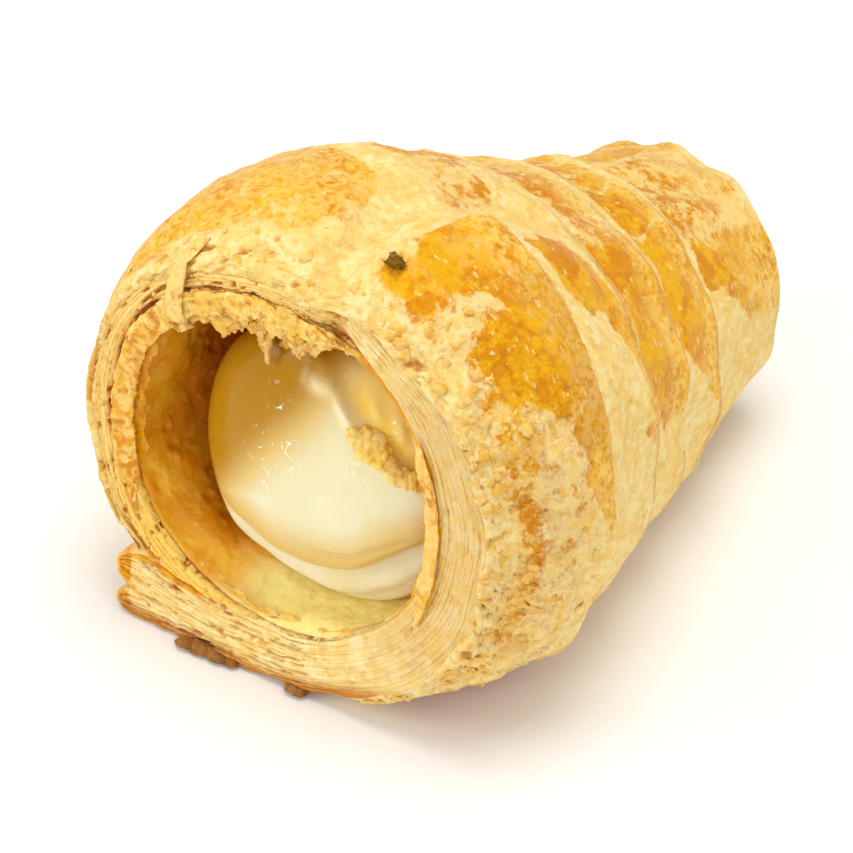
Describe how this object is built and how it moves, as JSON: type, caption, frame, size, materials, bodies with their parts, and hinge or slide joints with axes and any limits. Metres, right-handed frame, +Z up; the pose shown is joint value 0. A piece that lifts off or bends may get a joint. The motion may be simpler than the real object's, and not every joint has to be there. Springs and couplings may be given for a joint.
{
  "type": "cream horn pastry",
  "caption": "Cream horn: a golden flaky pastry strip wound into a cone, open at its wide end and filled with smooth pale cream, lying on its side.",
  "frame": {"origin": "centre of the bounding box at its bottom, on the plane the horn lies on", "axes": "+Y from the mouth to the tip along the horn, +Z up, +X to the right seen from the mouth"},
  "size_m": [0.0736, 0.0992, 0.0665],
  "materials": {
    "pastry": "egg-glazed golden crust over pale flaky layers",
    "cream": "smooth and satin"
  },
  "bodies": {
    "root": {"pastry": "pastry", "cream": "cream"}
  },
  "joints": []
}
